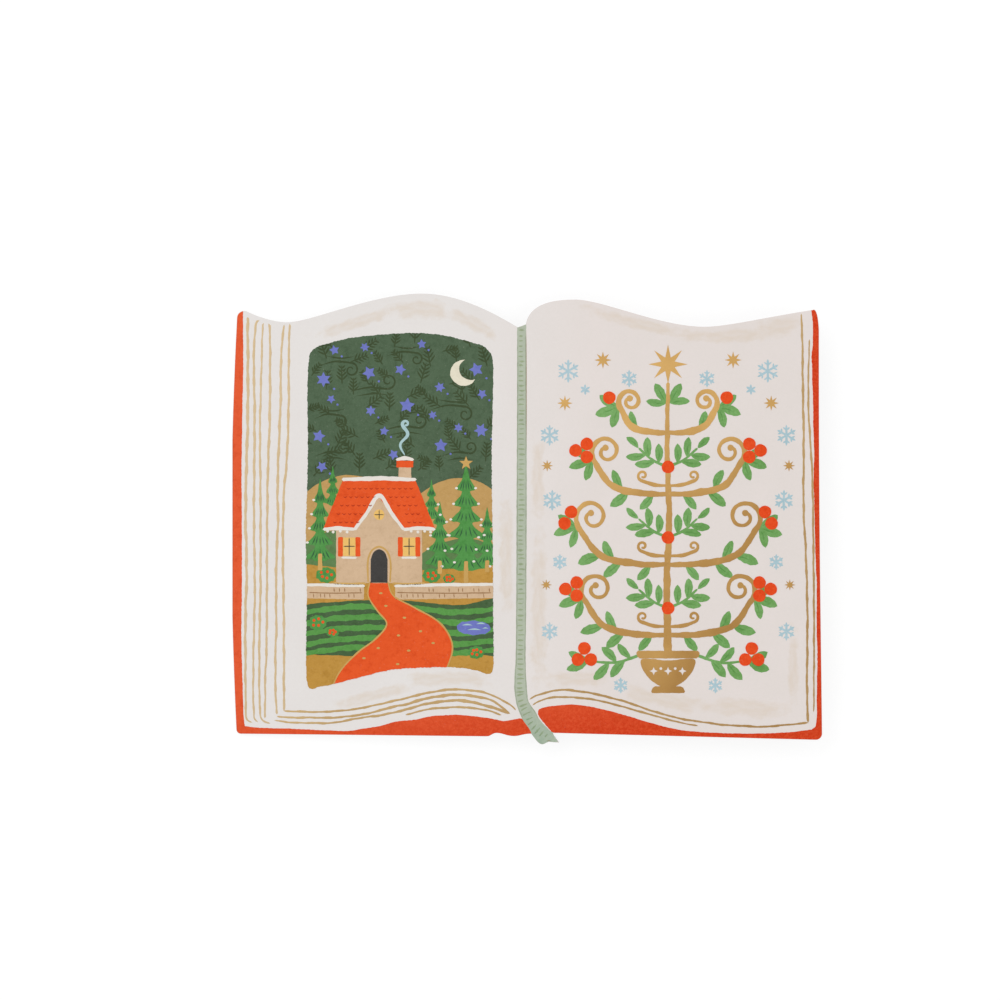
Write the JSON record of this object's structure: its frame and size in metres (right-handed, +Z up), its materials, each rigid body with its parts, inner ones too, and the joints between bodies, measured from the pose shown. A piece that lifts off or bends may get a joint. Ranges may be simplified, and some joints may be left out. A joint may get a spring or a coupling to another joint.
{
  "type": "greeting card",
  "caption": "Folded greeting card of printed card stock, die cut to the outline of an open book with a ribbon tail, lying closed on its back leaf.",
  "frame": {"origin": "under the middle of the card's bounding box, on the surface that its back leaf lies on", "axes": "+X from the fold towards the free edge, +Y towards the top of the picture, +Z up out of the front"},
  "size_m": [0.1396, 0.1068, 0.008],
  "materials": {
    "card_stock": "smooth uncoated off-white card stock, matte print and gold foil on its front, white cut edges"
  },
  "bodies": {
    "root": {"folded_card": "card_stock"}
  },
  "joints": []
}
